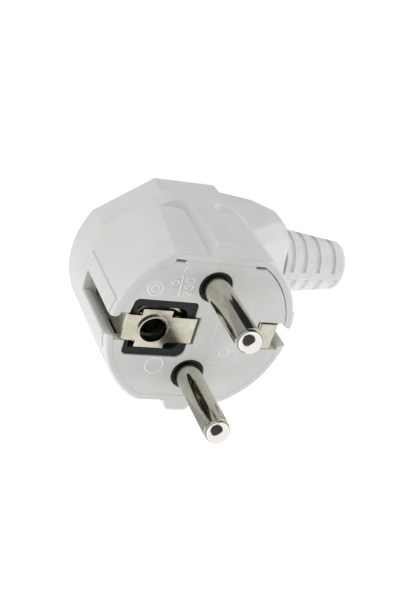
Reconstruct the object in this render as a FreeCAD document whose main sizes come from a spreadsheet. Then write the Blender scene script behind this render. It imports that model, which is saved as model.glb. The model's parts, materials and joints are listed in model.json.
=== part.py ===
"""Type F plug, hybrid with an earth-pin socket, as a parametric FreeCAD document.

The origin lies on the plug's face, midway between the two pins. +Z points the
way the pins point, the pins stand on the Y axis and the cord leaves along +X.
"""
import FreeCAD, Part
import math
import os

import Sketcher
from FreeCAD import Placement, Rotation, Vector

# Driving sizes in millimetres and degrees
SIZES = {
    # Round front of the housing
    "edge_distance": "8.8",
    "rim_width": "1.6",
    "rim_edge": "0.8",
    "ledge_width": "0.9",
    "flat_inset": "2.3",
    "wall_draft": "0.2",
    "body_depth": "38",
    "dome_height": "11",
    "cavity_depth": "17",
    "fit_gap": "0.15",
    # Finger grips on the two pin sides
    "grip_wall": "1.25",
    "grip_draft": "3",
    "grip_stop": "10.5",
    "grip_taper": "25",
    "grip_corner": "2",
    "rib_half_width": "3",
    # Grooves for the earth clips of a socket
    "guide_floor": "1.9",
    "guide_half_width": "3.2",
    "guide_stop": "11.5",
    "lip_half_width": "1.95",
    "lip_depth": "1.2",
    "lip_round": "1",
    "flare_depth": "0.2",
    "strip_half_width": "5.1",
    "strip_height": "0.25",
    "strip_stop": "9.5",
    # Back of the housing
    "block_length": "6",
    "block_left": "6.4",
    "block_right": "7.6",
    "block_inset": "1.4",
    "block_overhang": "0.2",
    "block_corner": "1",
    "facet_azimuth": "52",
    "facet_length": "7.8",
    "facet_inset": "1.4",
    "facet_round": "1.5",
    "dome_step": "2.4",
    "bevel_height": "1.8",
    "plateau_radius": "8.8",
    "plateau_shift": "3",
    "nose_length": "8.7",
    "nose_root": "5",
    "nose_root_half_width": "14.2",
    "nose_root_top": "5",
    "nose_root_corner": "8",
    "nose_shoulder": "8",
    "nose_shoulder_half_width": "12.6",
    "nose_shoulder_rise": "14.15",
    "nose_shoulder_corner": "8",
    "nose_neck": "2.5",
    "nose_neck_half_width": "10.8",
    "nose_neck_rise": "8.95",
    "nose_neck_corner": "7.5",
    "nose_end_half_width": "8.7",
    "nose_end_rise": "6.55",
    "nose_end_corner": "7",
    "crown_half_width": "0.8",
    "crease_inset": "2.1",
    "crease_drop": "1.9",
    "crease_bevel": "3.4",
    "crease_round": "2",
    # Rooms inside the housing
    "chamber_radius": "13.8",
    "chamber_wall": "3",
    "chamber_draft": "0.5",
    "duct_wall": "1.7",
    "duct_rise": "12.65",
    "duct_corner": "2.5",
    "end_wall": "2.5",
    # Face plate
    "plate_thickness": "2",
    "pin_opening_radius": "3.2",
    "window_reach": "4.6",
    "window_right": "2",
    "window_half_width": "5.95",
    "window_corner": "1",
    "window_big_corner": "1.8",
    "window_slant": "0.5",
    "slot_half_width": "2.9",
    "dip_opening": "0.8",
    "rise_lead": "0.3",
    "catch_left": "8.2",
    "catch_right": "7.5",
    "catch_half_length": "0.95",
    "catch_inset": "0.45",
    "catch_outset": "0.12",
    "catch_depth": "4",
    # Pins and terminals
    "pin_spacing": "19",
    "pin_radius": "2.4",
    "pin_length": "19",
    "root_step": "0.3",
    "tip_height": "2.2",
    "tip_step": "0.1",
    "tip_cone": "0.1",
    "tip_round": "1.9",
    "web_depth": "4",
    "head_radius": "3.5",
    "head_depth": "9",
    "stem_radius": "3",
    "stem_depth": "13",
    "thread_radius": "1.75",
    "thread_length": "5.5",
    "post_place": "4.6",
    "rivet_radius": "1.5",
    "washer_size": "6.2",
    "washer_thickness": "1",
    "washer_corner": "0.5",
    "screw_head_radius": "2.9",
    "screw_head_height": "2.3",
    "screw_edge": "0.5",
    "screw_play": "0.3",
    "thread_play": "0.05",
    "slot_width": "0.8",
    "slot_depth": "1",
    # Insulators
    "carrier_depth": "7",
    "boss_drop": "0.2",
    "well_gap": "0.1",
    "pocket_outward": "3.7",
    "pocket_inward": "6.2",
    "pocket_half_width": "4.4",
    "pocket_depth": "2.4",
    "pocket_corner": "1.8",
    "terminal_step": "1",
    "foot_length": "2.9",
    "foot_half_width": "6.6",
    "partition_place": "4.2",
    "partition_thickness": "1.2",
    "partition_half_length": "11",
    # Earth strap, socket and spring
    "strap_thickness": "0.6",
    "strap_width": "5.3",
    "strap_top": "0.2",
    "strap_margin": "1.4",
    "strap_leg": "12.5",
    "strap_bend": "1.1",
    "channel_bend": "0.9",
    "dip_place": "1.15",
    "rise_inset": "5.5",
    "channel_depth": "2.5",
    "tab_outward": "2.7",
    "tab_inward": "3",
    "tab_half_width": "4",
    "socket_place": "9.7",
    "socket_opening": "2.55",
    "collar_wall": "0.3",
    "collar_height": "0.45",
    "sleeve_bore": "2.35",
    "sleeve_wall": "0.55",
    "sleeve_top": "1.9",
    "sleeve_bottom": "14",
    "sleeve_slit": "0.5",
    "slit_bottom": "7",
    "spring_thickness": "0.5",
    "spring_height": "1.2",
    "spring_gap": "0.2",
    "spring_inward": "5.5",
    "spring_corner": "2.4",
    "spring_opening": "1.2",
    # Screw that holds the housing on
    "housing_screw_place": "2.7",
    "housing_screw_radius": "1.9",
    "housing_head_radius": "3.5",
    "housing_head_height": "2.4",
    "screw_recess": "6",
    "screw_boss_radius": "5.1",
    "screw_boss_front": "18",
    "boss_sink": "1.5",
    "insert_radius": "2.75",
    "insert_wall": "1.25",
    # Cord clamp
    "clamp_distance": "13",
    "clamp_width": "4",
    "clamp_thickness": "2.4",
    "clamp_corner": "1",
    "clamp_lift": "2.8",
    "clamp_half_length": "8.4",
    "clamp_screw_place": "6",
    "clamp_screw_radius": "1.2",
    "clamp_head_radius": "2",
    "clamp_head_height": "1.6",
    "clamp_boss_radius": "2.2",
    "clamp_hole_length": "7",
    "clamp_slot_depth": "0.6",
    # Boot
    "boot_clearance": "0.4",
    "boot_start_radius": "6.95",
    "boot_end_radius": "5.1",
    "boot_length": "15.5",
    "boot_corner": "1",
    "cord_radius": "3.2",
    "neck_radius": "4.5",
    "neck_gap": "0.1",
    "flange_radius": "5.4",
    "flange_thickness": "1.5",
    "groove_first": "1.6",
    "groove_pitch": "3.1",
    "groove_growth": "0.4",
    "groove_width": "1",
    "groove_depth": "0.45",
    "groove_sweep": "164",
}

GROOVES = 4  # shallow grooves on each side of the boot
PAST = 1.0  # how far a cutting profile runs past the face that it opens
CLOSE = 1e-4  # how near two places count as one


class Size:
    """A number together with the spreadsheet expression that it comes from."""

    def __init__(self, value, text):
        self.value = float(value)
        self.text = text

    def combined(self, other, sign, value):
        return Size(value, f"({self.text} {sign} {as_size(other).text})")

    def __add__(self, other):
        return self.combined(other, "+", self.value + as_size(other).value)

    def __sub__(self, other):
        return self.combined(other, "-", self.value - as_size(other).value)

    def __mul__(self, other):
        return self.combined(other, "*", self.value * as_size(other).value)

    def __truediv__(self, other):
        return self.combined(other, "/", self.value / as_size(other).value)

    def __neg__(self):
        return Size(-self.value, f"-({self.text})")


def as_size(number):
    """Take a plain number as a Size."""
    if isinstance(number, Size):
        return number
    return Size(number, f"{float(number):.6g}")


def make_sheet(document):
    """Write the driving sizes into a spreadsheet, one row each."""
    sheet = document.addObject("Spreadsheet::Sheet", "Sizes")
    for row, (name, text) in enumerate(SIZES.items(), 1):
        sheet.set(f"A{row}", name)
        sheet.set(f"B{row}", text)
        sheet.setAlias(f"B{row}", name)
    document.recompute()
    return sheet


def size(name):
    """A driving size by its name in the spreadsheet."""
    return Size(doc.Sizes.getPropertyByName(name), f"Sizes.{name}")


def bind(thing, path, amount):
    """Tie a property of an object to the sizes."""
    thing.setExpression(path, as_size(amount).text)


def new_body(name, x=0, y=0, z=0):
    """Start a piece with its own origin at x, y, z."""
    body = doc.addObject("PartDesign::Body", name)
    body.Label = name
    place = [as_size(x), as_size(y), as_size(z)]
    body.Placement = Placement(Vector(*[amount.value for amount in place]), Rotation())
    for axis, amount in zip("xyz", place):
        bind(body, f"Placement.Base.{axis}", amount)
    return body


def plane_of(body, role):
    """The origin plane of a body, such as XY_Plane."""
    return [item for item in body.Origin.OriginFeatures if item.Role == role][0]


def new_sketch(body, name, role, place=0):
    """A sketch on an origin plane, moved to the height, side or station place."""
    offset = as_size(place)
    if role == "XZ_Plane":
        offset = -offset
    sketch = body.newObject("Sketcher::SketchObject", name)
    sketch.AttachmentSupport = (plane_of(body, role), [""])
    sketch.MapMode = "FlatFace"
    sketch.AttachmentOffset = Placement(Vector(0, 0, offset.value), Rotation())
    bind(sketch, "AttachmentOffset.Base.z", offset)
    return sketch


def constrain(sketch, kind, geometry, *amount):
    """Add a constraint with a value and tie it to the sizes."""
    amount = list(amount)
    goal = as_size(amount.pop())
    index = sketch.addConstraint(Sketcher.Constraint(kind, *geometry, *amount, goal.value))
    sketch.setExpression(f"Constraints[{index}]", goal.text)


def fix_point(sketch, geometry, point, x, y):
    """Fix a point of a sketch at x, y from its origin."""
    constrain(sketch, "DistanceX", (-1, 1, geometry, point), x)
    constrain(sketch, "DistanceY", (-1, 1, geometry, point), y)


def disc(radius, x=0, y=0):
    """A circular profile."""
    radius, x, y = as_size(radius), as_size(x), as_size(y)

    def draw(sketch):
        centre = Vector(x.value, y.value, 0)
        circle = sketch.addGeometry(Part.Circle(centre, Vector(0, 0, 1), radius.value))
        fix_point(sketch, circle, 3, x, y)
        constrain(sketch, "Radius", (circle,), radius)

    return draw


def disc_with_flats(radius, flat):
    """A circular profile cut off straight at y = flat and y = -flat."""
    radius, flat = as_size(radius), as_size(flat)

    def draw(sketch):
        turn = math.asin(flat.value / radius.value)
        chord = radius.value * math.cos(turn)
        circle = Part.Circle(Vector(0, 0, 0), Vector(0, 0, 1), radius.value)
        right = sketch.addGeometry(Part.ArcOfCircle(circle, -turn, turn))
        left = sketch.addGeometry(Part.ArcOfCircle(circle, math.pi - turn, math.pi + turn))
        ends = [Vector(x, y, 0) for y in (flat.value, -flat.value) for x in (chord, -chord)]
        top = sketch.addGeometry(Part.LineSegment(ends[0], ends[1]))
        low = sketch.addGeometry(Part.LineSegment(ends[3], ends[2]))
        for arc in (right, left):
            sketch.addConstraint(Sketcher.Constraint("Coincident", arc, 3, -1, 1))
            constrain(sketch, "Radius", (arc,), radius)
        joints = ((right, 2, top, 1), (top, 2, left, 1), (left, 2, low, 1), (low, 2, right, 1))
        for joint in joints:
            sketch.addConstraint(Sketcher.Constraint("Coincident", *joint))
        for line, side in ((top, flat), (low, -flat)):
            sketch.addConstraint(Sketcher.Constraint("Horizontal", line))
            constrain(sketch, "DistanceY", (-1, 1, line, 1), side)

    return draw


def outline(*corners):
    """A closed profile of straight sides through corners (x, y) or (x, y, radius)."""
    corners = [[as_size(number) for number in corner] for corner in corners]

    def draw(sketch):
        count = len(corners)
        spots = [Vector(corner[0].value, corner[1].value, 0) for corner in corners]
        starts, ends = [], []
        for k, corner in enumerate(corners):
            before = (spots[k - 1] - spots[k]).normalize()
            after = (spots[(k + 1) % count] - spots[k]).normalize()
            reach = 0.0
            if len(corner) == 3:
                reach = corner[2].value / math.tan(before.getAngle(after) / 2)
            ends.append(spots[k] + before * reach)
            starts.append(spots[k] + after * reach)
        sides = [Part.LineSegment(starts[k], ends[(k + 1) % count]) for k in range(count)]
        lines = [sketch.addGeometry(side) for side in sides]
        for k, corner in enumerate(corners):
            if len(corner) == 2:
                sketch.addConstraint(Sketcher.Constraint("Coincident", lines[k - 1], 2, lines[k], 1))
                fix_point(sketch, lines[k], 1, corner[0], corner[1])
                continue
            back = ends[k] - spots[k]
            onward = starts[k] - spots[k]
            radius = corner[2].value
            depth = radius / math.sin(back.getAngle(onward) / 2) - radius
            middle = spots[k] + (back + onward).normalize() * depth
            arc = sketch.addGeometry(Part.Arc(ends[k], middle, starts[k]))
            vertex = sketch.addGeometry(Part.Point(spots[k]), True)
            fix_point(sketch, vertex, 1, corner[0], corner[1])
            for line in (lines[k - 1], lines[k]):
                sketch.addConstraint(Sketcher.Constraint("PointOnObject", vertex, 1, line))
            first, last = 1, 2
            if sketch.getPoint(arc, 1).distanceToPoint(ends[k]) > CLOSE:
                first, last = 2, 1
            sketch.addConstraint(Sketcher.Constraint("Tangent", lines[k - 1], 2, arc, first))
            sketch.addConstraint(Sketcher.Constraint("Tangent", lines[k], 1, arc, last))
            constrain(sketch, "Radius", (arc,), corner[2])

    return draw


def rectangle(left, right, low, high, *radius):
    """A rectangular profile, with rounded corners if a radius is given."""
    corners = ((left, low), (right, low), (right, high), (left, high))
    return outline(*[(*corner, *radius) for corner in corners])


def extrude(kind, body, name, role, start, end, *shapes):
    """Pad or pocket the profiles along the plane's axis from start to end."""
    start, end = as_size(start), as_size(end)
    sketch = new_sketch(body, f"{name}_profile", role, start)
    for draw in shapes:
        draw(sketch)
    feature = body.newObject(f"PartDesign::{kind}", name)
    feature.Profile = sketch
    upward = end.value > start.value
    along_normal = upward != (role == "XZ_Plane")
    feature.Reversed = along_normal != (kind == "Pad")
    bind(feature, "Length", end - start if upward else start - end)
    return feature


def pad(body, name, role, start, end, *shapes):
    """Add material between two stations."""
    return extrude("Pad", body, name, role, start, end, *shapes)


def cut(body, name, role, start, end, *shapes):
    """Take material away between two stations."""
    return extrude("Pocket", body, name, role, start, end, *shapes)


def loft(kind, body, name, role, *sections):
    """Loft through sections, each a station and a profile."""
    sketches = []
    for number, (place, draw) in enumerate(sections, 1):
        sketch = new_sketch(body, f"{name}_section_{number}", role, place)
        draw(sketch)
        sketches.append(sketch)
    feature = body.newObject(f"PartDesign::{kind}Loft", name)
    feature.Profile = sketches[0]
    feature.Sections = sketches[1:]
    feature.Ruled = True
    return feature


def mirror(body, name, feature, role):
    """Repeat a feature on the other side of an origin plane."""
    copy = body.newObject("PartDesign::Mirrored", name)
    copy.Originals = [feature]
    copy.MirrorPlane = (plane_of(body, role), [""])
    body.Tip = copy
    return copy


def turn(kind, body, name, draw, axis, role="XZ_Plane"):
    """Revolve a profile, as a Revolution or a Groove, round a sketch axis."""
    sketch = new_sketch(body, f"{name}_profile", role)
    draw(sketch)
    feature = body.newObject(f"PartDesign::{kind}", name)
    feature.Profile = sketch
    feature.ReferenceAxis = (sketch, [axis])
    return feature


def edges_of(feature, test):
    """Names of the edges of a feature that pass a test."""
    doc.recompute()
    edges = enumerate(feature.Shape.Edges, 1)
    return [f"Edge{number}" for number, edge in edges if test(edge)]


def fillet(body, name, feature, radius, test):
    """Round the edges that pass a test."""
    rounding = body.newObject("PartDesign::Fillet", name)
    rounding.Base = (feature, edges_of(feature, test))
    bind(rounding, "Radius", radius)
    return rounding


def at_height(edge, height):
    """Whether an edge lies wholly at one height."""
    box = edge.BoundBox
    return abs(box.ZMin - height) < CLOSE and abs(box.ZMax - height) < CLOSE


def make_shell():
    """Moulded housing: round wall, grips, guide grooves, domed back and nose."""
    shell = new_body("outer_shell")
    shell_outside(shell)
    shell_rooms(shell)
    shell_bosses(shell)
    return shell


def shell_outside(shell):
    """Outer form of the housing."""
    wall = pad(shell, "wall", "XY_Plane", 0, -wall_depth, disc(rim_radius))
    bind(wall, "TaperAngle", size("wall_draft"))
    fillet(shell, "rim_rounding", wall, size("rim_edge"), lambda edge: at_height(edge, 0))
    shell_back(shell)
    shell_nose(shell)
    shell_grips(shell)
    shell_guides(shell)


def shell_back(shell):
    """Facets and blocks behind the collar, and the domed back."""
    start = size("facet_length") - wall_depth
    inset = size("facet_inset")
    far = rim_radius + PAST
    facet = outline((far, start + PAST), (rim_radius - inset, start - inset, size("facet_round")),
                    (rim_radius - inset, -wall_depth - PAST), (far, -wall_depth - PAST))
    for number, side in enumerate((1, -1), 1):
        for way in (1, -1):
            azimuth = size("facet_azimuth") * side * way
            if side < 0:
                azimuth = azimuth + 180
            name = f"facet_{number}_{'left' if way > 0 else 'right'}"
            wedge = cut(shell, name, "XZ_Plane", 0, far * 2, facet)
            wedge.Midplane = True
            sketch = wedge.Profile[0]
            sketch.AttachmentOffset = Placement(Vector(0, 0, 0), Rotation(Vector(0, 1, 0), azimuth.value))
            bind(sketch, "AttachmentOffset.Rotation.Angle", azimuth)
    left = -size("block_left")
    right = size("block_right")
    height = rim_radius - size("block_inset")
    corner = size("block_corner")
    start = size("block_length") - wall_depth
    trim = cut(shell, "block_trim", "XY_Plane", start, -wall_depth - PAST,
               rectangle(left - PAST, right + PAST, height, far + PAST))
    mirror(shell, "block_trims", trim, "XZ_Plane")
    block = pad(shell, "block", "XY_Plane", start, -wall_depth - size("block_overhang"),
                outline((left, chamber_radius), (right, chamber_radius), (right, height, corner),
                        (left, height, corner)))
    mirror(shell, "blocks", block, "XZ_Plane")
    shift = size("plateau_shift")
    radius = rim_radius - size("dome_step")
    loft("Additive", shell, "dome", "XY_Plane",
         (-wall_depth, disc(radius)),
         (-body_depth + bevel_height, disc(plateau_radius + bevel_height, shift)),
         (-body_depth, disc(plateau_radius, shift)))


def nose_section(name, top):
    """Section of the nose across the cord: crowned roof, crease, bevel, side and corner at the back."""
    half = size(f"nose_{name}_half_width")
    low = size(f"nose_{name}_corner")
    crown = size("crown_half_width")
    crease = half - size("crease_inset")
    crease_height = -top - size("crease_drop")
    side_height = crease_height - size("crease_bevel")
    bend = size("crease_round")
    return outline((-half, -body_depth, low), (half, -body_depth, low), (half, side_height, bend),
                   (crease, crease_height), (crown, -top), (-crown, -top), (-crease, crease_height),
                   (-half, side_height, bend))


def shell_nose(shell):
    """Nose that narrows towards the cord."""
    shoulder_top = boot_depth - size("nose_shoulder_rise")
    neck_top = boot_depth - size("nose_neck_rise")
    end_top = boot_depth - size("nose_end_rise")
    loft("Additive", shell, "nose", "YZ_Plane",
         (size("nose_root"), nose_section("root", size("nose_root_top"))),
         (nose_end - size("nose_shoulder"), nose_section("shoulder", shoulder_top)),
         (nose_end - size("nose_neck"), nose_section("neck", neck_top)),
         (nose_end, nose_section("end", end_top)))


def shell_grips(shell):
    """Drafted recess on each pin side, with a rib left standing in the middle."""
    root = size("rib_half_width")
    length = wall_depth - size("grip_stop")
    corner = size("grip_corner")
    grip_floor = seat_flat + size("grip_wall")
    halves = []
    for side in (1, -1):
        halves.append(outline((rim_radius * -side, PAST), (root * -side, PAST),
                              (root * -side, -length, corner), (rim_radius * -side, -length)))
    grip = cut(shell, "grip", "XZ_Plane", grip_floor, rim_radius + PAST * 3, *halves)
    sketch = grip.Profile[0]
    sketch.AttachmentOffset = Placement(Vector(0, 0, -grip_floor.value),
                                        Rotation(Vector(1, 0, 0), size("grip_draft").value))
    bind(sketch, "AttachmentOffset.Rotation.Angle", size("grip_draft"))
    bind(grip, "TaperAngle", size("grip_taper"))
    mirror(shell, "grips", grip, "XZ_Plane")


def shell_guides(shell):
    """Groove with two lips and a raised strip on each side of the plug."""
    strip = size("strip_half_width")
    outer = rim_radius + size("strip_height")
    band = pad(shell, "strip", "XY_Plane", -size("rim_edge"), size("strip_stop") - wall_depth,
               sector(outer, cavity_radius, strip))
    bind(band, "TaperAngle", size("wall_draft"))
    mirror(shell, "strips", band, "YZ_Plane")
    lip = size("lip_half_width")
    wide = size("guide_half_width")
    shoulder = guide_reach + strap_thickness
    neck = rim_radius - size("lip_depth")
    bend = size("lip_round")
    mouth = rim_radius - size("flare_depth")
    flare = size("rim_edge")
    groove = outline((guide_reach, -wide), (shoulder, -wide), (neck, -lip, bend), (mouth, -lip),
                     (outer + flare, -lip - flare), (outer + flare, lip + flare),
                     (mouth, lip), (neck, lip, bend), (shoulder, wide), (guide_reach, wide))
    guide = cut(shell, "guide", "XY_Plane", 0, size("guide_stop") - wall_depth, groove)
    mirror(shell, "guides", guide, "YZ_Plane")


def sector(outer, inner, half):
    """Profile between x = inner and an arc of radius outer, for y from -half to half."""
    outer, inner, half = as_size(outer), as_size(inner), as_size(half)

    def draw(sketch):
        angle = math.asin(half.value / outer.value)
        reach = outer.value * math.cos(angle)
        circle = Part.Circle(Vector(0, 0, 0), Vector(0, 0, 1), outer.value)
        arc = sketch.addGeometry(Part.ArcOfCircle(circle, -angle, angle))
        near = inner.value
        side = half.value
        spots = [Vector(x, y, 0) for x, y in ((reach, side), (near, side), (near, -side), (reach, -side))]
        lines = [sketch.addGeometry(Part.LineSegment(*ends)) for ends in zip(spots, spots[1:])]
        sketch.addConstraint(Sketcher.Constraint("Coincident", arc, 3, -1, 1))
        constrain(sketch, "Radius", (arc,), outer)
        sketch.addConstraint(Sketcher.Constraint("Coincident", arc, 2, lines[0], 1))
        sketch.addConstraint(Sketcher.Constraint("Coincident", lines[0], 2, lines[1], 1))
        sketch.addConstraint(Sketcher.Constraint("Coincident", lines[1], 2, lines[2], 1))
        sketch.addConstraint(Sketcher.Constraint("Coincident", lines[2], 2, arc, 1))
        sketch.addConstraint(Sketcher.Constraint("Horizontal", lines[0]))
        sketch.addConstraint(Sketcher.Constraint("Horizontal", lines[2]))
        fix_point(sketch, lines[1], 1, inner, half)
        fix_point(sketch, lines[1], 2, inner, -half)

    return draw


def shell_rooms(shell):
    """Seat of the face plate, room for the insulators and room for the cord."""
    cut(shell, "plate_seat", "XY_Plane", 0, -plate_thickness, disc_with_flats(seat_radius, seat_flat))
    cut(shell, "cavity", "XY_Plane", 0, -cavity_depth, disc_with_flats(cavity_radius, cavity_flat))
    cut(shell, "catches", "XY_Plane", 0, -size("catch_depth"), *catch_slots())
    shift = size("plateau_shift")
    floor = -body_depth + chamber_wall
    draft = size("chamber_draft")
    loft("Subtractive", shell, "chamber", "XY_Plane",
         (-cavity_depth, disc(chamber_radius)),
         (-wall_depth, disc(chamber_radius - draft)),
         (floor, disc(plateau_radius - draft, shift)))
    corner = size("duct_corner")
    root_half = size("nose_root_half_width") - size("duct_wall")
    root_top = boot_depth - size("duct_rise")
    end_half = size("nose_end_half_width") - size("duct_wall")
    duct_end = nose_end - end_wall
    duct_top = boot_depth - flange_radius - fit_gap
    duct_low = boot_depth + flange_radius + fit_gap
    loft("Subtractive", shell, "duct", "YZ_Plane",
         (size("nose_root"), rectangle(-root_half, root_half, floor, -root_top, corner)),
         (duct_end, rectangle(-end_half, end_half, -duct_low, -duct_top, corner)))
    cut(shell, "boot_hole", "YZ_Plane", duct_end - PAST, nose_end + PAST,
        disc(neck_radius + neck_gap, 0, -boot_depth))


def shell_bosses(shell):
    """Bosses for the housing screw and for the screws of the cord clamp."""
    place = -housing_screw_place
    boss = size("screw_boss_radius")
    seat = -housing_seat_depth
    front = -screw_boss_front
    back = size("boss_sink") - body_depth
    pad(shell, "screw_boss", "XY_Plane", front, back, disc(boss, place))
    cut(shell, "screw_hole", "XY_Plane", front + PAST, seat - PAST,
        disc(housing_screw_radius + screw_play, place))
    cut(shell, "screw_recess", "XY_Plane", seat, -body_depth - PAST,
        disc(housing_head_radius + screw_play, place))
    middle = clamp_place + clamp_width / 2
    posts = [disc(size("clamp_boss_radius"), middle, clamp_screw_place * side) for side in (1, -1)]
    holes = [disc(clamp_screw_radius, middle, clamp_screw_place * side) for side in (1, -1)]
    pad(shell, "clamp_bosses", "XY_Plane", -clamp_depth, back, *posts)
    cut(shell, "clamp_holes", "XY_Plane", -clamp_depth, -clamp_depth - clamp_hole_length, *holes)


def catch_slots():
    """Profiles of the two slots where the face plate's catches let go, at the ends of one flat."""
    half = size("catch_half_length")
    low = seat_flat - size("catch_inset")
    high = seat_flat + size("catch_outset")
    middles = (-size("catch_left"), size("catch_right"))
    return [rectangle(middle - half, middle + half, low, high) for middle in middles]


def make_face_plate():
    """Front plate with the pin openings, the window and the slots for the strap."""
    plate = new_body("face_plate")
    pad(plate, "disc", "XY_Plane", 0, -plate_thickness,
        disc_with_flats(seat_radius - fit_gap, seat_flat - fit_gap))
    openings = [disc(pin_opening_radius, 0, pin_place * side) for side in (1, -1)]
    cut(plate, "pin_openings", "XY_Plane", 0, -plate_thickness - PAST, *openings)
    cut(plate, "catches", "XY_Plane", 0, -plate_thickness - PAST, *catch_slots())
    slot = size("slot_half_width")
    half = window_half_width
    corner = size("window_corner")
    past = -seat_radius - PAST
    dip = -size("dip_opening")
    slant = -window_left - size("window_slant")
    window = outline((-window_left, -half, corner), (-window_right, -half, window_big_corner),
                     (-window_right, -slot), (dip, -slot), (dip, slot), (-window_right, slot),
                     (-window_right, half, corner), (-window_left, half, corner), (slant, slot),
                     (past, slot), (past, -slot), (-window_left, -slot))
    cut(plate, "window", "XY_Plane", 0, -plate_thickness - PAST, window)
    cut(plate, "strap_slot", "XY_Plane", 0, -plate_thickness - PAST,
        rectangle(rise_place - size("rise_lead"), seat_radius + PAST, -slot, slot))
    return plate


def cut_for_legs(body, name, start, end):
    """Clear an insulator for the two legs of the earth strap."""
    edge = strap_reach - strap_thickness - fit_gap
    half = strap_width / 2 + fit_gap * 2
    far = seat_radius + PAST
    sides = [rectangle(edge, far, -half, half), rectangle(-far, -edge, -half, half)]
    cut(body, name, "XY_Plane", start, end, *sides)


def make_carrier():
    """Front insulator: web, wells for the contacts and bosses seen in the plate's openings."""
    carrier = new_body("contact_carrier")
    top = -plate_thickness
    bottom = -carrier_depth
    boss_top = -size("boss_drop")
    pad(carrier, "block", "XY_Plane", top, bottom,
        disc_with_flats(cavity_radius - fit_gap, cavity_flat - fit_gap))
    rim = pin_opening_radius - fit_gap
    half = window_half_width - fit_gap
    corner = size("window_corner")
    left = -window_left + fit_gap
    right = -window_right - fit_gap
    pad(carrier, "bosses", "XY_Plane", top, boss_top,
        disc(rim, 0, pin_place), disc(rim, 0, -pin_place),
        outline((left, -half, corner), (right, -half, window_big_corner), (right, half, corner),
                (left, half, corner)))
    cut_for_legs(carrier, "leg_room", 0, bottom - PAST)
    pocket = size("pocket_half_width")
    pocket_right = socket_place - size("pocket_inward")
    round_corner = size("pocket_corner")
    cut(carrier, "socket_pocket", "XY_Plane", 0, pocket_floor,
        outline((-pocket_left, -pocket), (-pocket_right, -pocket, round_corner),
                (-pocket_right, pocket, round_corner), (-pocket_left, pocket)))
    channel = strap_width / 2 + fit_gap
    cut(carrier, "strap_bed", "XY_Plane", 0, -strap_bottom_clear,
        rectangle(-window_left - PAST, -dip_place, -channel, channel))
    cut(carrier, "channel", "XY_Plane", 0, -channel_depth - strap_thickness,
        rectangle(-dip_place - strap_thickness - fit_gap, rise_place + strap_thickness + fit_gap,
                  -channel, channel))
    cut(carrier, "right_room", "XY_Plane", 0, -strap_bottom_clear - fit_gap,
        rectangle(rise_place, seat_radius + PAST, -channel, channel))
    shanks = [disc(pin_radius + well_gap, 0, pin_place * side) for side in (1, -1)]
    heads = [disc(head_radius + well_gap, 0, pin_place * side) for side in (1, -1)]
    shanks.append(disc(pin_radius + well_gap, post_place))
    heads.append(disc(head_radius + well_gap, post_place))
    cut(carrier, "shank_holes", "XY_Plane", 0, bottom - PAST, *shanks)
    cut(carrier, "head_wells", "XY_Plane", -web_depth, bottom - PAST, *heads)
    cut(carrier, "sleeve_hole", "XY_Plane", 0, bottom - PAST, disc(sleeve_radius + well_gap, -socket_place))
    return carrier


def make_terminal_housing():
    """Rear insulator: stepped wells, partitions, feet on the housing's ledge and screw boss."""
    block = new_body("terminal_housing")
    top = -carrier_depth
    bottom = -terminal_depth
    pad(block, "block", "XY_Plane", top, bottom,
        disc_with_flats(cavity_radius - fit_gap, cavity_flat - fit_gap))
    place = size("partition_place")
    thick = size("partition_thickness")
    long = size("partition_half_length")
    walls = [rectangle(-long, long, place, place + thick), rectangle(-long, long, -place - thick, -place)]
    pad(block, "partitions", "XY_Plane", bottom, -cavity_depth, *walls)
    feet = pad(block, "foot", "XY_Plane", bottom, -cavity_depth,
               sector(cavity_radius - fit_gap, cavity_radius - size("foot_length"), size("foot_half_width")))
    mirror(block, "feet", feet, "YZ_Plane")
    insert_boss = insert_radius + size("insert_wall")
    pad(block, "insert_boss", "XY_Plane", bottom, -screw_boss_front, disc(insert_boss, -housing_screw_place))
    cup = sleeve_radius + size("partition_thickness") / 2
    pad(block, "sleeve_cup", "XY_Plane", bottom, -sleeve_bottom - thick, disc(cup, -socket_place))
    cut_for_legs(block, "leg_room", top, -cavity_depth - PAST)
    heads = [disc(head_radius + well_gap, 0, pin_place * side) for side in (1, -1)]
    stems = [disc(stem_radius + well_gap, 0, pin_place * side) for side in (1, -1)]
    heads.append(disc(head_radius + well_gap, post_place))
    stems.append(disc(stem_radius + well_gap, post_place))
    cut(block, "head_wells", "XY_Plane", top, -head_depth, *heads)
    cut(block, "stem_wells", "XY_Plane", top, bottom - PAST, *stems)
    cut(block, "sleeve_well", "XY_Plane", top, -sleeve_bottom, disc(sleeve_radius + well_gap, -socket_place))
    cut(block, "insert_hole", "XY_Plane", bottom, -screw_boss_front - PAST,
        disc(insert_radius, -housing_screw_place))
    return block


def make_pin(name, side):
    """Live pin with its domed tip, and the terminal behind it."""
    pin = new_body(name, 0, pin_place * side, 0)
    tip_radius = pin_radius - size("tip_step")
    tip_start = pin_length - size("tip_height")
    root = pin_radius - size("root_step")
    profile = outline((0, -stem_depth), (stem_radius, -stem_depth), (stem_radius, -head_depth),
                      (head_radius, -head_depth), (head_radius, -web_depth), (root, -web_depth),
                      (root, 0), (pin_radius, 0), (pin_radius, tip_start), (tip_radius, tip_start),
                      (tip_radius - size("tip_cone"), pin_length, size("tip_round")), (0, pin_length))
    turn("Revolution", pin, "pin_form", profile, "V_Axis")
    cut(pin, "thread_hole", "XY_Plane", thread_length - stem_depth, -stem_depth - PAST, disc(thread_radius))
    return pin


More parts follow.
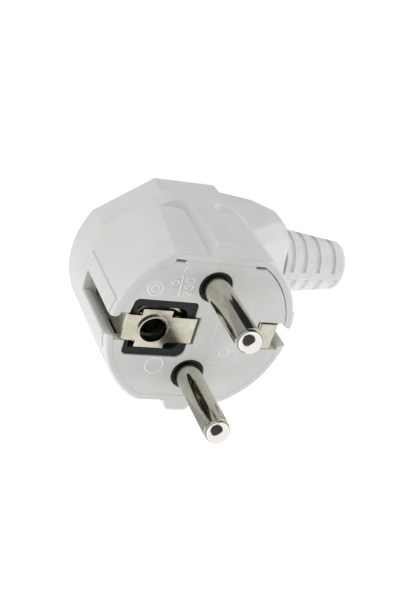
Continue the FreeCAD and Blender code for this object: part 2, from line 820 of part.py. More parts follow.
def make_earth_post():
    """Terminal post of the earth, riveted to the strap."""
    post = new_body("earth_post", post_place)
    strap_low = channel_depth + strap_thickness
    profile = outline((0, -stem_depth), (stem_radius, -stem_depth), (stem_radius, -head_depth),
                      (head_radius, -head_depth), (head_radius, -web_depth), (pin_radius, -web_depth),
                      (pin_radius, -strap_low), (size("rivet_radius"), -strap_low),
                      (size("rivet_radius"), -channel_depth), (0, -channel_depth))
    turn("Revolution", post, "post_form", profile, "V_Axis")
    cut(post, "thread_hole", "XY_Plane", thread_length - stem_depth, -stem_depth - PAST, disc(thread_radius))
    return post


def make_washer(name, x, y):
    """Square clamp washer below a terminal."""
    washer = new_body(name, x, y, -stem_depth)
    half = washer_size / 2
    pad(washer, "plate", "XY_Plane", 0, -washer_thickness,
        rectangle(-half, half, -half, half, size("washer_corner")))
    cut(washer, "hole", "XY_Plane", 0, -washer_thickness - PAST, disc(thread_radius + well_gap))
    return washer


def slotted_screw(name, place, shank, shank_length, head, head_height):
    """Screw with its head at the back, its shank along +Z from the head's seat."""
    screw = new_body(name, *place)
    profile = outline((0, -head_height), (head, -head_height, size("screw_edge")), (head, 0), (shank, 0),
                      (shank, shank_length), (0, shank_length))
    turn("Revolution", screw, "screw_form", profile, "V_Axis")
    half = size("slot_width") / 2
    far = head + PAST
    cut(screw, "slot", "XY_Plane", -head_height + slot_depth, -head_height - PAST,
        rectangle(-far, far, -half, half))
    return screw


def make_terminal_screw(name, x, y):
    """Slotted screw of a terminal."""
    place = (x, y, -stem_depth - washer_thickness)
    reach = washer_thickness + thread_length - screw_play
    return slotted_screw(name, place, thread_radius - thread_play, reach,
                         size("screw_head_radius"), size("screw_head_height"))


def make_earth_strap():
    """Strip bent into two side contacts, with the drawn hole of the earth socket."""
    strap = new_body("earth_strap")
    top = strap_top
    low = strap_top - strap_thickness
    floor = -channel_depth
    under = floor - strap_thickness
    leg = -size("strap_leg")
    inner = strap_reach - strap_thickness
    outer_bend = size("strap_bend")
    inner_bend = outer_bend - strap_thickness
    big = size("channel_bend")
    small = big - strap_thickness
    dip = -dip_place
    section = outline((-strap_reach, leg), (-strap_reach, top, outer_bend),
                      (dip, top, big), (dip, floor, small),
                      (rise_place, floor, small), (rise_place, top, big), (strap_reach, top, outer_bend),
                      (strap_reach, leg), (inner, leg), (inner, low, inner_bend),
                      (rise_place + strap_thickness, low, small), (rise_place + strap_thickness, under, big),
                      (dip - strap_thickness, under, big), (dip - strap_thickness, low, small),
                      (-inner, low, inner_bend), (-inner, leg))
    pad(strap, "strip", "XZ_Plane", -strap_width / 2, strap_width / 2, section)
    tab = size("tab_half_width")
    pad(strap, "tabs", "XY_Plane", top, low,
        rectangle(-socket_place - size("tab_outward"), size("tab_inward") - socket_place, -tab, tab))
    opening = size("socket_opening")
    collar = top + size("collar_height")
    pad(strap, "drawn_collar", "XY_Plane", low, collar, disc(opening + size("collar_wall"), -socket_place))
    cut(strap, "socket_hole", "XY_Plane", collar, low - PAST, disc(opening, -socket_place))
    cut(strap, "rivet_hole", "XY_Plane", floor, under - PAST, disc(size("rivet_radius"), post_place))
    return strap


def make_earth_socket():
    """Split sleeve that grips the earth pin of a socket."""
    sleeve = new_body("earth_socket", -socket_place)
    top = -size("sleeve_top")
    pad(sleeve, "tube", "XY_Plane", top, -sleeve_bottom, disc(sleeve_radius))
    cut(sleeve, "bore", "XY_Plane", top, -sleeve_bottom - PAST, disc(sleeve_bore))
    slit = size("sleeve_slit") / 2
    cut(sleeve, "slit", "XY_Plane", top, -size("slit_bottom"),
        rectangle(0, sleeve_radius + PAST, -slit, slit))
    return sleeve


def make_socket_spring():
    """Leaf bent round the sleeve, open on one side."""
    spring = new_body("socket_spring")
    high = pocket_floor + size("spring_height")
    thick = size("spring_thickness")
    gap = size("spring_gap")
    left = gap - pocket_left
    right = size("spring_inward") - socket_place
    half = size("pocket_half_width") - gap
    corner = size("spring_corner")
    inner = corner - thick
    opening = size("spring_opening")
    form = outline((left, opening), (left, half, corner), (right, half, corner), (right, -half, corner),
                   (left, -half, corner), (left, -opening), (left + thick, -opening),
                   (left + thick, thick - half, inner), (right - thick, thick - half, inner),
                   (right - thick, half - thick, inner), (left + thick, half - thick, inner),
                   (left + thick, opening))
    pad(spring, "leaf", "XY_Plane", pocket_floor, high, form)
    return spring


def make_housing_screw():
    """Long screw through the housing's boss into the insert."""
    place = (-housing_screw_place, 0, -housing_seat_depth)
    reach = housing_seat_depth - stem_depth
    return slotted_screw("housing_screw", place, housing_screw_radius, reach,
                         housing_head_radius, size("housing_head_height"))


def make_threaded_insert():
    """Threaded bush in the rear insulator."""
    insert = new_body("threaded_insert", -housing_screw_place)
    top = -terminal_depth
    bottom = fit_gap - screw_boss_front
    pad(insert, "bush", "XY_Plane", top, bottom, disc(insert_radius))
    cut(insert, "bore", "XY_Plane", top, bottom - PAST, disc(housing_screw_radius + thread_play))
    return insert


def make_clamp_bar():
    """Bar that holds the cord down between two screws."""
    bar = new_body("cord_clamp_bar", clamp_place + clamp_width / 2)
    half = clamp_width / 2
    long = size("clamp_half_length")
    top = clamp_thickness - clamp_depth
    pad(bar, "bar", "XY_Plane", top, -clamp_depth, rectangle(-half, half, -long, long, size("clamp_corner")))
    holes = [disc(clamp_screw_radius + well_gap, 0, clamp_screw_place * side) for side in (1, -1)]
    cut(bar, "screw_holes", "XY_Plane", top, -clamp_depth - PAST, *holes)
    cut(bar, "cord_saddle", "YZ_Plane", -half - PAST, half + PAST,
        disc(cord_radius + fit_gap, 0, -boot_depth))
    return bar


def make_clamp_screw(name, side):
    """Screw of the cord clamp, its head towards the pins."""
    seat = clamp_thickness - clamp_depth
    screw = new_body(name, clamp_place + clamp_width / 2, clamp_screw_place * side, seat)
    head = size("clamp_head_radius")
    height = size("clamp_head_height")
    reach = clamp_hole_length + clamp_thickness - fit_gap
    shank = clamp_screw_radius - thread_play
    profile = outline((0, height), (0, -reach), (shank, -reach), (shank, 0), (head, 0),
                      (head, height, size("screw_edge")))
    turn("Revolution", screw, "screw_form", profile, "V_Axis")
    half = size("slot_width") / 2
    cut(screw, "slot", "XY_Plane", height, height - size("clamp_slot_depth"),
        rectangle(-head - PAST, head + PAST, -half, half))
    return screw


def make_boot():
    """Strain relief with a flange inside the nose and staggered shallow grooves."""
    boot = new_body("cable_boot", 0, 0, -boot_depth)
    inside = nose_end - end_wall
    start = boot_start_radius
    end = size("boot_end_radius")
    boot_end = nose_end + size("boot_length")
    shoulder = nose_end + neck_gap
    flange_face = inside - neck_gap
    profile = outline((flange_face - size("flange_thickness"), cord_radius), (boot_end, cord_radius),
                      (boot_end, end, size("boot_corner")), (shoulder, start),
                      (shoulder, neck_radius), (flange_face, neck_radius), (flange_face, flange_radius),
                      (flange_face - size("flange_thickness"), flange_radius))
    turn("Revolution", boot, "boot_form", profile, "H_Axis")
    slope = (start - end) / (boot_end - nose_end)
    half = size("groove_width") / 2
    depth = size("groove_depth")
    pitch = size("groove_pitch")
    growth = size("groove_growth")
    for number in range(GROOVES):
        station = nose_end + size("groove_first") + pitch * number + growth * (number * (number - 1) / 2)
        for side, name in ((1, "upper"), (-1, "lower")):
            middle = station if side > 0 else station + pitch / 2
            floor = start - slope * (middle - nose_end) - depth
            ring = rectangle(middle - half, middle + half, floor * side, (start + PAST) * side)
            groove = turn("Groove", boot, f"groove_{name}_{number + 1}", ring, "H_Axis", "XY_Plane")
            groove.Midplane = True
            bind(groove, "Angle", size("groove_sweep"))
    return boot


def check_and_export(pieces):
    """Stop on any failed object or bad solid, then write one file for each piece."""
    doc.recompute()
    for item in doc.Objects:
        if "Invalid" in item.State or "Error" in item.State:
            raise RuntimeError(f"{item.Name} failed: {item.State}")
    for piece in pieces:
        shape = piece.Shape
        if shape.isNull() or not shape.isValid() or len(shape.Solids) != 1:
            raise RuntimeError(f"{piece.Label} is not one valid solid")
    os.makedirs("parts", exist_ok=True)
    for piece in pieces:
        piece.Shape.exportStep(f"parts/{piece.Label}.step")
        box = piece.Shape.BoundBox
        print(f"{piece.Label}: {piece.Shape.Volume:.2f} mm3, x {box.XMin:.2f} {box.XMax:.2f}, "
              f"y {box.YMin:.2f} {box.YMax:.2f}, z {box.ZMin:.2f} {box.ZMax:.2f}")


doc = FreeCAD.newDocument("type_f_plug")
make_sheet(doc)

# Sizes that several pieces share
pin_place = size("pin_spacing") / 2
rim_radius = pin_place + size("edge_distance")
body_depth = size("body_depth")
wall_depth = body_depth - size("dome_height")
cavity_depth = size("cavity_depth")
fit_gap = size("fit_gap")
seat_radius = rim_radius - size("rim_width")
seat_flat = seat_radius - size("flat_inset")
cavity_radius = seat_radius - size("ledge_width")
cavity_flat = seat_flat - size("ledge_width")
guide_reach = rim_radius - size("guide_floor") - size("rim_width") - fit_gap * 2
bevel_height = size("bevel_height")
plateau_radius = size("plateau_radius")
nose_end = rim_radius + size("nose_length")
chamber_radius = size("chamber_radius")
chamber_wall = size("chamber_wall")
end_wall = size("end_wall")
plate_thickness = size("plate_thickness")
pin_opening_radius = size("pin_opening_radius")
socket_place = size("socket_place")
window_left = socket_place + size("window_reach")
window_right = size("window_right")
window_half_width = size("window_half_width")
window_big_corner = size("window_big_corner")
pin_radius = size("pin_radius")
pin_length = size("pin_length")
web_depth = size("web_depth")
head_radius = size("head_radius")
head_depth = size("head_depth")
stem_radius = size("stem_radius")
stem_depth = size("stem_depth")
thread_radius = size("thread_radius")
thread_length = size("thread_length")
post_place = size("post_place")
washer_size = size("washer_size")
washer_thickness = size("washer_thickness")
slot_depth = size("slot_depth")
carrier_depth = size("carrier_depth")
well_gap = size("well_gap")
screw_play = size("screw_play")
thread_play = size("thread_play")
pocket_left = socket_place + size("pocket_outward")
pocket_floor = -size("pocket_depth")
terminal_depth = stem_depth - size("terminal_step")
strap_thickness = size("strap_thickness")
strap_width = size("strap_width")
strap_top = size("strap_top")
strap_reach = seat_radius - size("strap_margin")
strap_bottom_clear = strap_thickness - strap_top
dip_place = size("dip_place")
rise_place = seat_radius - size("rise_inset")
channel_depth = size("channel_depth")
sleeve_bore = size("sleeve_bore")
sleeve_radius = sleeve_bore + size("sleeve_wall")
sleeve_bottom = size("sleeve_bottom")
housing_screw_place = size("housing_screw_place")
housing_screw_radius = size("housing_screw_radius")
housing_head_radius = size("housing_head_radius")
housing_seat_depth = body_depth - size("screw_recess")
screw_boss_front = size("screw_boss_front")
insert_radius = size("insert_radius")
boot_start_radius = size("boot_start_radius")
boot_depth = body_depth - boot_start_radius - size("boot_clearance")
clamp_place = nose_end - size("clamp_distance")
clamp_width = size("clamp_width")
clamp_thickness = size("clamp_thickness")
clamp_depth = boot_depth - size("clamp_lift")
clamp_hole_length = size("clamp_hole_length")
clamp_screw_place = size("clamp_screw_place")
clamp_screw_radius = size("clamp_screw_radius")
cord_radius = size("cord_radius")
neck_radius = size("neck_radius")
neck_gap = size("neck_gap")
flange_radius = size("flange_radius")

TERMINALS = (("line", 0, pin_place), ("neutral", 0, -pin_place), ("earth", post_place, 0))

parts = [make_shell(), make_face_plate(), make_carrier(), make_terminal_housing()]
parts += [make_pin("line_pin", 1), make_pin("neutral_pin", -1), make_earth_post()]
parts += [make_terminal_screw(f"{name}_terminal_screw", x, y) for name, x, y in TERMINALS]
parts += [make_washer(f"{name}_clamp_washer", x, y) for name, x, y in TERMINALS]
parts += [make_earth_strap(), make_earth_socket(), make_socket_spring()]
parts += [make_housing_screw(), make_threaded_insert(), make_clamp_bar()]
parts += [make_clamp_screw("clamp_screw_upper", 1), make_clamp_screw("clamp_screw_lower", -1)]
parts.append(make_boot())
check_and_export(parts)
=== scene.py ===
"""Looks of the plug: materials, raised marks, floor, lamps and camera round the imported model."""
import json
import math

import bpy
from mathutils import Matrix, Vector


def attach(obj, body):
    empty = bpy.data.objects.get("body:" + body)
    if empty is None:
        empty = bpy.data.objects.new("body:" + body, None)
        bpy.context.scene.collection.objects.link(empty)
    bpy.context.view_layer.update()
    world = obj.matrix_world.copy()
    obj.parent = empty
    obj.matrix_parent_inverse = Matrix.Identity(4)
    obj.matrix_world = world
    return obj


MM = 0.001

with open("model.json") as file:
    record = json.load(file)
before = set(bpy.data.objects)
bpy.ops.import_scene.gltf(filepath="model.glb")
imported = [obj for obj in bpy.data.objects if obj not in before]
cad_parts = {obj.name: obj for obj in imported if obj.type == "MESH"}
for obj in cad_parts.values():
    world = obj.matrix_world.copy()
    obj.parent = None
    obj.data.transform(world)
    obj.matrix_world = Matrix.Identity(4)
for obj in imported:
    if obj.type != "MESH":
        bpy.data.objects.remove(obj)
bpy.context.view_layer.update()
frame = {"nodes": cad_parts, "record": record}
nodes = frame["nodes"]


# Materials: sizes and depths in mm, colours as low and high ends of a ramp

NOISE_SPAN = (0.3, 0.7)  # where most of a noise lies
BEVEL_SAMPLES = 6

PLASTIC_IOR = 1.5
CLOUD_DEPTH = 0.02
GRAIN_SPREAD = (-0.05, 0.06)  # of the roughness

TARNISH_SIZE = 2.5
WAVE_DEPTH = 0.012
LINE_SIZE = 0.3
LINE_DEPTH = 0.0012
LINE_SPREAD = (-0.03, 0.04)  # of the roughness
METAL_EDGE = 0.08
ALONG_Z = (1, 1, 40)
ALONG_X = (40, 1, 1)
TIP_SPAN = (16.4 * MM, 17.0 * MM)  # heights where the painted highlight on a pin's tip begins and is full


class Finish:
    """A node material and the nodes that make it up."""

    def __init__(self, name, **fixed):
        self.material = bpy.data.materials.new(name)
        self.material.use_nodes = True
        self.tree = self.material.node_tree
        self.shader = self.tree.nodes["Principled BSDF"]
        self.place = self.node("ShaderNodeTexCoord").outputs["Object"]
        for socket, value in fixed.items():
            self.shader.inputs[socket.replace("_", " ")].default_value = value

    def node(self, kind, **inputs):
        """A new node of the kind, its sockets filled by name."""
        node = self.tree.nodes.new(kind)
        for socket, value in inputs.items():
            self.give(node, socket.replace("_", " "), value)
        return node

    def give(self, node, socket, value):
        """Link an output to a socket, or write a plain value into it."""
        if isinstance(value, bpy.types.NodeSocket):
            self.tree.links.new(value, node.inputs[socket])
        else:
            node.inputs[socket].default_value = value

    def scaled(self, size, stretch=(1, 1, 1)):
        """Object coordinates counted in cells of size mm, longer where stretch is above 1."""
        scale = [1 / (size * MM * share) for share in stretch]
        return self.node("ShaderNodeMapping", Vector=self.place, Scale=scale).outputs["Vector"]

    def noise(self, size, stretch=(1, 1, 1), detail=2.0, rough=0.5):
        """Noise with cells of size mm."""
        cells = self.node("ShaderNodeTexNoise", Vector=self.scaled(size, stretch), Scale=1.0,
                          Detail=detail, Roughness=rough)
        return cells.outputs["Fac"]

    def between(self, share, low, high, span=NOISE_SPAN):
        """A number that runs from low to high while share runs through the span."""
        return self.node("ShaderNodeMapRange", Value=share, From_Min=span[0], From_Max=span[1],
                         To_Min=low, To_Max=high).outputs["Result"]

    def colours(self, share, low, high):
        """A colour that runs from low to high while share runs through the noise's span."""
        ramp = self.node("ShaderNodeValToRGB", Fac=share)
        for stop, place, colour in zip(ramp.color_ramp.elements, NOISE_SPAN, (low, high)):
            stop.position = place
            stop.color = (*colour, 1)
        return ramp.outputs["Color"]

    def bump(self, height, depth, normal):
        """Normals of a relief depth mm deep, on top of other normals."""
        node = self.node("ShaderNodeBump", Height=height, Distance=depth * MM, Normal=normal)
        return node.outputs["Normal"]

    def soft_edges(self, radius):
        """Normals that round the edges by radius mm."""
        node = self.node("ShaderNodeBevel", Radius=radius * MM)
        node.samples = BEVEL_SAMPLES
        return node.outputs["Normal"]

    def set(self, **sockets):
        """Fill the shader's sockets and give the material."""
        for socket, value in sockets.items():
            self.give(self.shader, socket.replace("_", " "), value)
        return self.material


def moulded(name, low, high, roughness, grain, edge, sheen=0.5, grain_depth=0.004, cloud=6):
    """Moulded plastic: faint clouds of colour, sparked grain and rounded edges."""
    finish = Finish(name, IOR=PLASTIC_IOR, Specular_IOR_Level=sheen)
    clouds = finish.noise(cloud, detail=3)
    fine = finish.noise(grain, detail=3, rough=0.6)
    relief = finish.bump(clouds, CLOUD_DEPTH, finish.soft_edges(edge))
    relief = finish.bump(fine, grain_depth, relief)
    return finish.set(Base_Color=finish.colours(clouds, low, high),
                      Roughness=finish.between(fine, *(roughness + spread for spread in GRAIN_SPREAD)),
                      Normal=relief)


def plated(name, low, high, roughness, stretch, tip=None):
    """Metal: drawing lines along the piece, clouds of tarnish, gentle waves and perhaps a lighter tip, a
    painted highlight.
    """
    finish = Finish(name, Metallic=1.0)
    clouds = finish.noise(TARNISH_SIZE, detail=2)
    lines = finish.noise(LINE_SIZE, stretch, detail=1)
    relief = finish.bump(clouds, WAVE_DEPTH, finish.soft_edges(METAL_EDGE))
    relief = finish.bump(lines, LINE_DEPTH, relief)
    colour = finish.colours(clouds, low, high)
    if tip is not None:
        # Painted highlight: a lighter colour on the tip's dome stands in for the bright reflection it shows.
        height = finish.node("ShaderNodeSeparateXYZ", Vector=finish.place).outputs["Z"]
        painted_tip_highlight = finish.between(height, 0, 1, TIP_SPAN)
        colour = finish.node("ShaderNodeMixRGB", Fac=painted_tip_highlight, Color1=colour, Color2=(*tip, 1)).outputs["Color"]
    return finish.set(Base_Color=colour,
                      Roughness=finish.between(lines, *(roughness + spread for spread in LINE_SPREAD)),
                      Normal=relief)


FINISHES = {
    "housing_white": moulded("housing_white", (0.69, 0.695, 0.672), (0.73, 0.735, 0.712),
                             roughness=0.42, grain=0.12, edge=0.25),
    "insulator_dark": moulded("insulator_dark", (0.020, 0.024, 0.024), (0.029, 0.034, 0.034),
                              roughness=0.5, grain=0.1, edge=0.12, sheen=0.22),
    "insulator_grey": moulded("insulator_grey", (0.30, 0.30, 0.29), (0.36, 0.36, 0.345),
                              roughness=0.5, grain=0.1, edge=0.12),
    "boot_white": moulded("boot_white", (0.72, 0.725, 0.715), (0.81, 0.815, 0.805),
                          roughness=0.58, grain=0.2, edge=0.3, sheen=0.35, grain_depth=0.008, cloud=2.2),
    # tip: the lighter colour of the painted highlight on the pins' tips
    "pin_nickel": plated("pin_nickel", (0.60, 0.59, 0.50), (0.70, 0.685, 0.59),
                         roughness=0.12, stretch=ALONG_Z, tip=(0.86, 0.845, 0.79)),
    "strip_nickel": plated("strip_nickel", (0.57, 0.54, 0.44), (0.71, 0.68, 0.58),
                           roughness=0.16, stretch=ALONG_X),
    "terminal_brass": plated("terminal_brass", (0.72, 0.55, 0.27), (0.82, 0.66, 0.36),
                             roughness=0.24, stretch=ALONG_Z),
    "screw_steel": plated("screw_steel", (0.52, 0.53, 0.54), (0.62, 0.63, 0.64),
                          roughness=0.26, stretch=ALONG_Z),
}
# The same plastic as housing_white made lighter: the lighter colour is a painted highlight for the light that
# the raised marks and the seam bead catch.
MARK_HIGHLIGHT_WHITE = moulded("mark_highlight_white", (0.84, 0.845, 0.835), (0.87, 0.875, 0.865),
                     roughness=0.42, grain=0.12, edge=0.05)

SLOT_OF = {part["node"]: part["material_slot"] for part in frame["record"]["subparts"]}
for name, thing in nodes.items():
    finish = FINISHES[SLOT_OF[name]]
    if not thing.material_slots:
        thing.data.materials.append(finish)
    for holder in thing.material_slots:
        holder.material = finish


# Raised marks on the face: round strokes, more than half of them sunk into the plastic, in mm

MARK_WIDTH = 0.42
MARK_SINK = 0.13
FAINT_WIDTH = 0.5
FAINT_SINK = 0.2
RING_CORNERS = 16
DIGIT_HEIGHT = 1.5


def beading(name, strokes, width, material):
    """One white piece of round strokes: for each its points, whether it is smooth and whether it closes."""
    curve = bpy.data.curves.new(name, "CURVE")
    curve.dimensions = "3D"
    curve.bevel_depth = width / 2 * MM
    curve.bevel_resolution = 3
    curve.use_fill_caps = True
    for points, smooth, closed in strokes:
        spline = curve.splines.new("NURBS" if smooth else "POLY")
        spline.points.add(len(points) - 1)
        for point, (x, y, z) in zip(spline.points, points):
            point.co = (x * MM, y * MM, z * MM, 1)
        spline.use_cyclic_u = closed
        if smooth:
            spline.order_u = 3
            spline.use_endpoint_u = not closed
            spline.resolution_u = 6
    thing = bpy.data.objects.new(name, curve)
    bpy.context.scene.collection.objects.link(thing)
    curve.materials.append(material)
    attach(thing, "root")


def marks(name, strokes, width=MARK_WIDTH, sink=MARK_SINK):
    """Strokes on the face, their points given by x and y alone."""
    sunk = [([(x, y, -sink) for x, y in points], smooth, closed) for points, smooth, closed in strokes]
    # The marks' lighter colour is a painted highlight.
    beading(name, sunk, width, MARK_HIGHLIGHT_WHITE)


def ring(x, y, radius, corners=RING_CORNERS):
    """A closed smooth stroke round the point (x, y)."""
    turns = [2 * math.pi * k / corners for k in range(corners)]
    reach = radius / math.cos(math.pi / corners)
    return [(x + reach * math.cos(turn), y + reach * math.sin(turn)) for turn in turns], True, True


# Strokes of each digit, along its width and height, where 1 is the digit's height
DIGITS = {
    "0": [([(0.3, 1.0), (0.03, 1.0), (0.0, 0.5), (0.03, 0.0),
            (0.3, 0.0), (0.57, 0.0), (0.6, 0.5), (0.57, 1.0)], True, True)],
    "1": [([(0.1, 0.75), (0.36, 1.0), (0.36, 0.0)], False, False)],
    "2": [([(0.02, 0.74), (0.06, 1.0), (0.3, 1.02), (0.56, 1.0),
            (0.62, 0.62), (0.3, 0.34), (0.02, 0.0)], True, False),
          ([(0.02, 0.0), (0.6, 0.0)], False, False)],
    "5": [([(0.54, 1.0), (0.1, 1.0), (0.06, 0.56)], False, False),
          ([(0.06, 0.56), (0.3, 0.68), (0.6, 0.56), (0.62, 0.1), (0.34, -0.06), (0.0, 0.08)], True, False)],
    "6": [([(0.52, 0.98), (0.2, 0.92), (0.0, 0.6), (0.0, 0.3)], True, False),
          ring(0.3, 0.3, 0.3, corners=8)],
}


def number(text, baseline, start, gap):
    """Digits in a row along +Y, their tops towards -X, from the point (baseline, start)."""
    strokes = []
    for place, digit in enumerate(text):
        for points, smooth, closed in DIGITS[digit]:
            spots = [(baseline - v * DIGIT_HEIGHT, start + place * gap + u * DIGIT_HEIGHT) for u, v in points]
            strokes.append((spots, smooth, closed))
    return strokes


current = number("16", baseline=-7.35, start=8.05, gap=1.4)
voltage = number("250", baseline=-4.4, start=7.2, gap=1.45)
rule = [([(-6.63, 6.95), (-6.86, 11.4)], False, False)]
wave = [([(-6.95, 12.1), (-7.1, 12.4), (-6.75, 12.7), (-6.5, 13.0), (-6.7, 13.3)], True, False)]
marks("rating_marks", current + voltage + rule + wave)

double_ring = [ring(-11.4, 8.3, radius) for radius in (1.4, 0.7)]
lower_ring = ring(-7.1, -7.9, 1.7)
marks("ring_marks", double_ring + [lower_ring])

open_frame = ([(2.7, 2.1), (2.8, -6.6), (8.8, -6.5), (8.7, -3.7)], False, False)
small_frame = ([(6.6, 6.6), (8.0, 6.7), (8.8, 4.6), (7.7, 4.3)], False, True)
framed_ring = ring(5.9, -4.2, 1.0)
marks("frame_mark", [open_frame, small_frame, framed_ring], FAINT_WIDTH, FAINT_SINK)


# Bead along the seam of the face plate in the lighter mark colour, a painted highlight on the seam, left out
# where the seam stays open

BEAD_RADIUS = 16.625
BEAD_FLAT = 14.325  # from the middle to the seam's upper and lower flat
BEAD_WIDTH = 0.19
BEAD_SINK = 0.075
ARC_STEP = math.radians(3)
SLOT_HALF = 3.0  # half the width of the slots for the side contacts
CATCH_REACH = 9.3  # from the middle to where the upper left arc begins
UPPER_FLAT_SPAN = (-7.1, 6.4)
SLOT_EDGE = math.asin(SLOT_HALF / BEAD_RADIUS)
FLAT_TURN = math.asin(BEAD_FLAT / BEAD_RADIUS)
CATCH_EDGE = math.acos(CATCH_REACH / BEAD_RADIUS)


def seam_arc(start, end):
    """Points of the seam's round part between two angles from +X."""
    count = math.ceil(abs(end - start) / ARC_STEP)
    turns = [start + (end - start) * k / count for k in range(count + 1)]
    return [(BEAD_RADIUS * math.cos(turn), BEAD_RADIUS * math.sin(turn)) for turn in turns]


left_upper = seam_arc(math.pi - CATCH_EDGE, math.pi - SLOT_EDGE)
left_lower = seam_arc(math.pi + SLOT_EDGE, math.pi + FLAT_TURN)
right_lower = seam_arc(-FLAT_TURN, -SLOT_EDGE)
lower_half = left_lower + right_lower  # the lower flat lies between the two arcs
upper_flat = [(x, BEAD_FLAT) for x in UPPER_FLAT_SPAN]
beads = [(points, False, False) for points in (left_upper, lower_half, upper_flat)]
marks("seam_bead", beads, BEAD_WIDTH, BEAD_SINK)


# Guessed fillet where the nose grows out of the domed back.
# It also covers the slit that outer_shell has there.

NOSE_ROOT = 5
DOME_START = (-27, 15.9, 0)  # height, radius and shift of the dome along +X
DOME_END = (-36.2, 10.6, 3)
FILLET_SPAN = (-28.6, -36.4)
FILLET_STEPS = 8
FILLET_WIDTH = 1.1


def dome_side(height):
    """Half width of the dome at the nose's root."""
    share = (height - DOME_START[0]) / (DOME_END[0] - DOME_START[0])
    radius = DOME_START[1] + share * (DOME_END[1] - DOME_START[1])
    shift = DOME_START[2] + share * (DOME_END[2] - DOME_START[2])
    return math.sqrt(radius ** 2 - (NOSE_ROOT - shift) ** 2)


upper_end, lower_end = FILLET_SPAN
heights = [upper_end + (lower_end - upper_end) * k / FILLET_STEPS for k in range(FILLET_STEPS + 1)]
fillets = [([(NOSE_ROOT, dome_side(height) * side, height) for height in heights], True, False)
           for side in (1, -1)]
beading("nose_fillet", fillets, FILLET_WIDTH, FINISHES["housing_white"])


# Floor, world, cards, lamps and camera, in metres

FLOOR_HEIGHT = -0.038
FLOOR_REACH = 6
FLOOR_GLOW = 0.84
FLOOR_SHADED = 0.3  # the part of the seen floor that takes the shadow
FLOOR_UNSEEN = 0.8
WORLD_SEEN = 1.0
WORLD_LEVEL = 0.55

CAMERA_PLACE = Vector((-0.0912, 0.10617, 0.16875))
CAMERA_TARGET = Vector((-0.00218, 0.00656, 0))
CAMERA_ROLL = 149.55
CAMERA_CLIP = 0.01
LENS = 71.88

CARD_DISTANCE = 0.42  # from the camera's target to the card behind the camera
TABLE_CARD_LIFT = 0.0005
SIDE_CARD_LIFT = 0.001


def flat(name, reach, place, aim=None, corners=4):
    """A flat sheet that belongs to the studio, an even polygon with corners at reach."""
    turns = [2 * math.pi * (k + 0.5) / corners for k in range(corners)]
    mesh = bpy.data.meshes.new(name)
    spots = [(reach * math.cos(turn), reach * math.sin(turn), 0) for turn in turns]
    mesh.from_pydata(spots, [], [tuple(range(corners))])
    sheet = bpy.data.objects.new(name, mesh)
    bpy.context.scene.collection.objects.link(sheet)
    sheet.location = place
    if aim is not None:
        sheet.rotation_euler = (Vector(aim) - Vector(place)).to_track_quat("-Z", "Y").to_euler()
    return sheet


def studio_shader(tree, seen, unseen, output):
    """Show seen to the camera, to mirrors and through glass, and unseen to every other ray."""
    rays = tree.nodes.new("ShaderNodeLightPath")
    direct = rays.outputs["Is Camera Ray"]
    for kind in ("Is Glossy Ray", "Is Transmission Ray"):
        either = tree.nodes.new("ShaderNodeMath")
        either.operation = "MAXIMUM"
        tree.links.new(direct, either.inputs[0])
        tree.links.new(rays.outputs[kind], either.inputs[1])
        direct = either.outputs["Value"]
    mix = tree.nodes.new("ShaderNodeMixShader")
    tree.links.new(direct, mix.inputs["Fac"])
    tree.links.new(unseen, mix.inputs[1])
    tree.links.new(seen, mix.inputs[2])
    tree.links.new(mix.outputs["Shader"], output.inputs["Surface"])


def diffuse(tree, level):
    """A matt shader of the grey level."""
    shader = tree.nodes.new("ShaderNodeBsdfDiffuse")
    shader.inputs["Color"].default_value = (level, level, level, 1)
    return shader.outputs["BSDF"]


def background(tree, strength):
    """White light of the strength from the world."""
    glow = tree.nodes.new("ShaderNodeBackground")
    glow.inputs["Strength"].default_value = strength
    glow.inputs["Color"].default_value = (1, 1, 1, 1)
    return glow.outputs["Background"]


def make_floor():
    """White paper that shows a soft shadow."""
    floor = flat("floor", FLOOR_REACH, (0, 0, FLOOR_HEIGHT))
    material = bpy.data.materials.new("floor_white")
    material.use_nodes = True
    tree = material.node_tree
    tree.nodes.clear()
    output = tree.nodes.new("ShaderNodeOutputMaterial")
    glow = tree.nodes.new("ShaderNodeEmission")
    glow.inputs["Strength"].default_value = FLOOR_GLOW
    both = tree.nodes.new("ShaderNodeAddShader")
    tree.links.new(diffuse(tree, FLOOR_SHADED), both.inputs[0])
    tree.links.new(glow.outputs["Emission"], both.inputs[1])
    studio_shader(tree, both.outputs["Shader"], diffuse(tree, FLOOR_UNSEEN), output)
    floor.data.materials.append(material)


def make_world():
    """White to look at, and a plain level of light."""
    world = bpy.data.worlds.new("studio")
    bpy.context.scene.world = world
    world.use_nodes = True
    tree = world.node_tree
    tree.nodes.clear()
    output = tree.nodes.new("ShaderNodeOutputWorld")
    studio_shader(tree, background(tree, WORLD_SEEN), background(tree, WORLD_LEVEL), output)


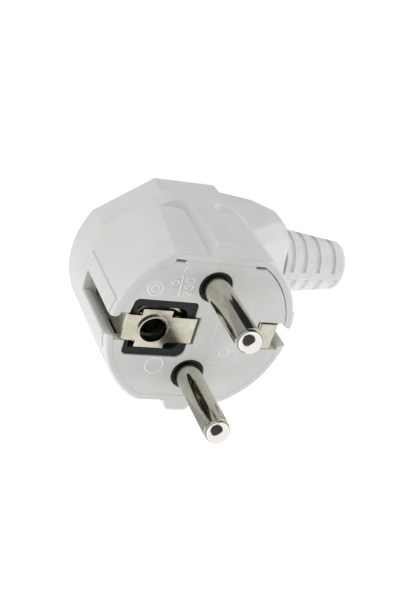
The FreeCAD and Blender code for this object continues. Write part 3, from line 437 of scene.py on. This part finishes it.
def mirrored_card(name, reach, place, corners, level, aim=None):
    """Card of the grey level that only shiny surfaces see."""
    card = flat(name, reach, place, aim, corners)
    card.visible_camera = False
    card.visible_diffuse = False
    card.visible_shadow = False
    card.visible_transmission = False
    material = bpy.data.materials.new(f"{name}_grey")
    material.use_nodes = True
    shader = material.node_tree.nodes["Principled BSDF"]
    shader.inputs["Base Color"].default_value = (level, level, level, 1)
    shader.inputs["Specular IOR Level"].default_value = 0
    card.data.materials.append(material)


def lamp(name, place, width, power):
    """A square soft lamp that faces the plug and isn't mirrored."""
    light = bpy.data.lights.new(name, "AREA")
    light.shape = "SQUARE"
    light.size = width
    light.energy = power
    thing = bpy.data.objects.new(name, light)
    bpy.context.scene.collection.objects.link(thing)
    thing.location = place
    thing.rotation_euler = (-Vector(place)).to_track_quat("-Z", "Y").to_euler()
    thing.visible_glossy = False


def make_camera():
    """The photograph's camera, as solved from the pins."""
    data = bpy.data.cameras.new("camera")
    data.lens = LENS
    data.clip_start = CAMERA_CLIP
    camera = bpy.data.objects.new("camera", data)
    bpy.context.scene.collection.objects.link(camera)
    turn = (CAMERA_TARGET - CAMERA_PLACE).to_track_quat("-Z", "Y").to_matrix().to_4x4()
    roll = Matrix.Rotation(math.radians(CAMERA_ROLL), 4, "Z")
    camera.matrix_world = Matrix.Translation(CAMERA_PLACE) @ turn @ roll
    bpy.context.scene.camera = camera


make_floor()
make_world()
behind_camera = CAMERA_TARGET + (CAMERA_PLACE - CAMERA_TARGET).normalized() * CARD_DISTANCE
mirrored_card("camera_card", reach=0.62, place=behind_camera, corners=7, level=0.05, aim=CAMERA_TARGET)
mirrored_card("table_card", reach=0.16, place=(0, 0, FLOOR_HEIGHT + TABLE_CARD_LIFT), corners=32, level=0.42)
mirrored_card("side_card", reach=0.042, place=(0.026, 0.072, FLOOR_HEIGHT + SIDE_CARD_LIFT), corners=12,
              level=0.03)
lamp("left_lamp", place=(-0.56, -0.14, 0.12), width=0.30, power=1.3)
lamp("front_lamp", place=(0.02, 0.56, 0.12), width=0.30, power=0.75)
lamp("right_lamp", place=(0.55, -0.08, 0.14), width=0.34, power=1.7)
lamp("rear_lamp", place=(-0.20, -0.52, 0.12), width=0.30, power=1.5)
make_camera()
bpy.context.scene.view_settings.view_transform = "Standard"
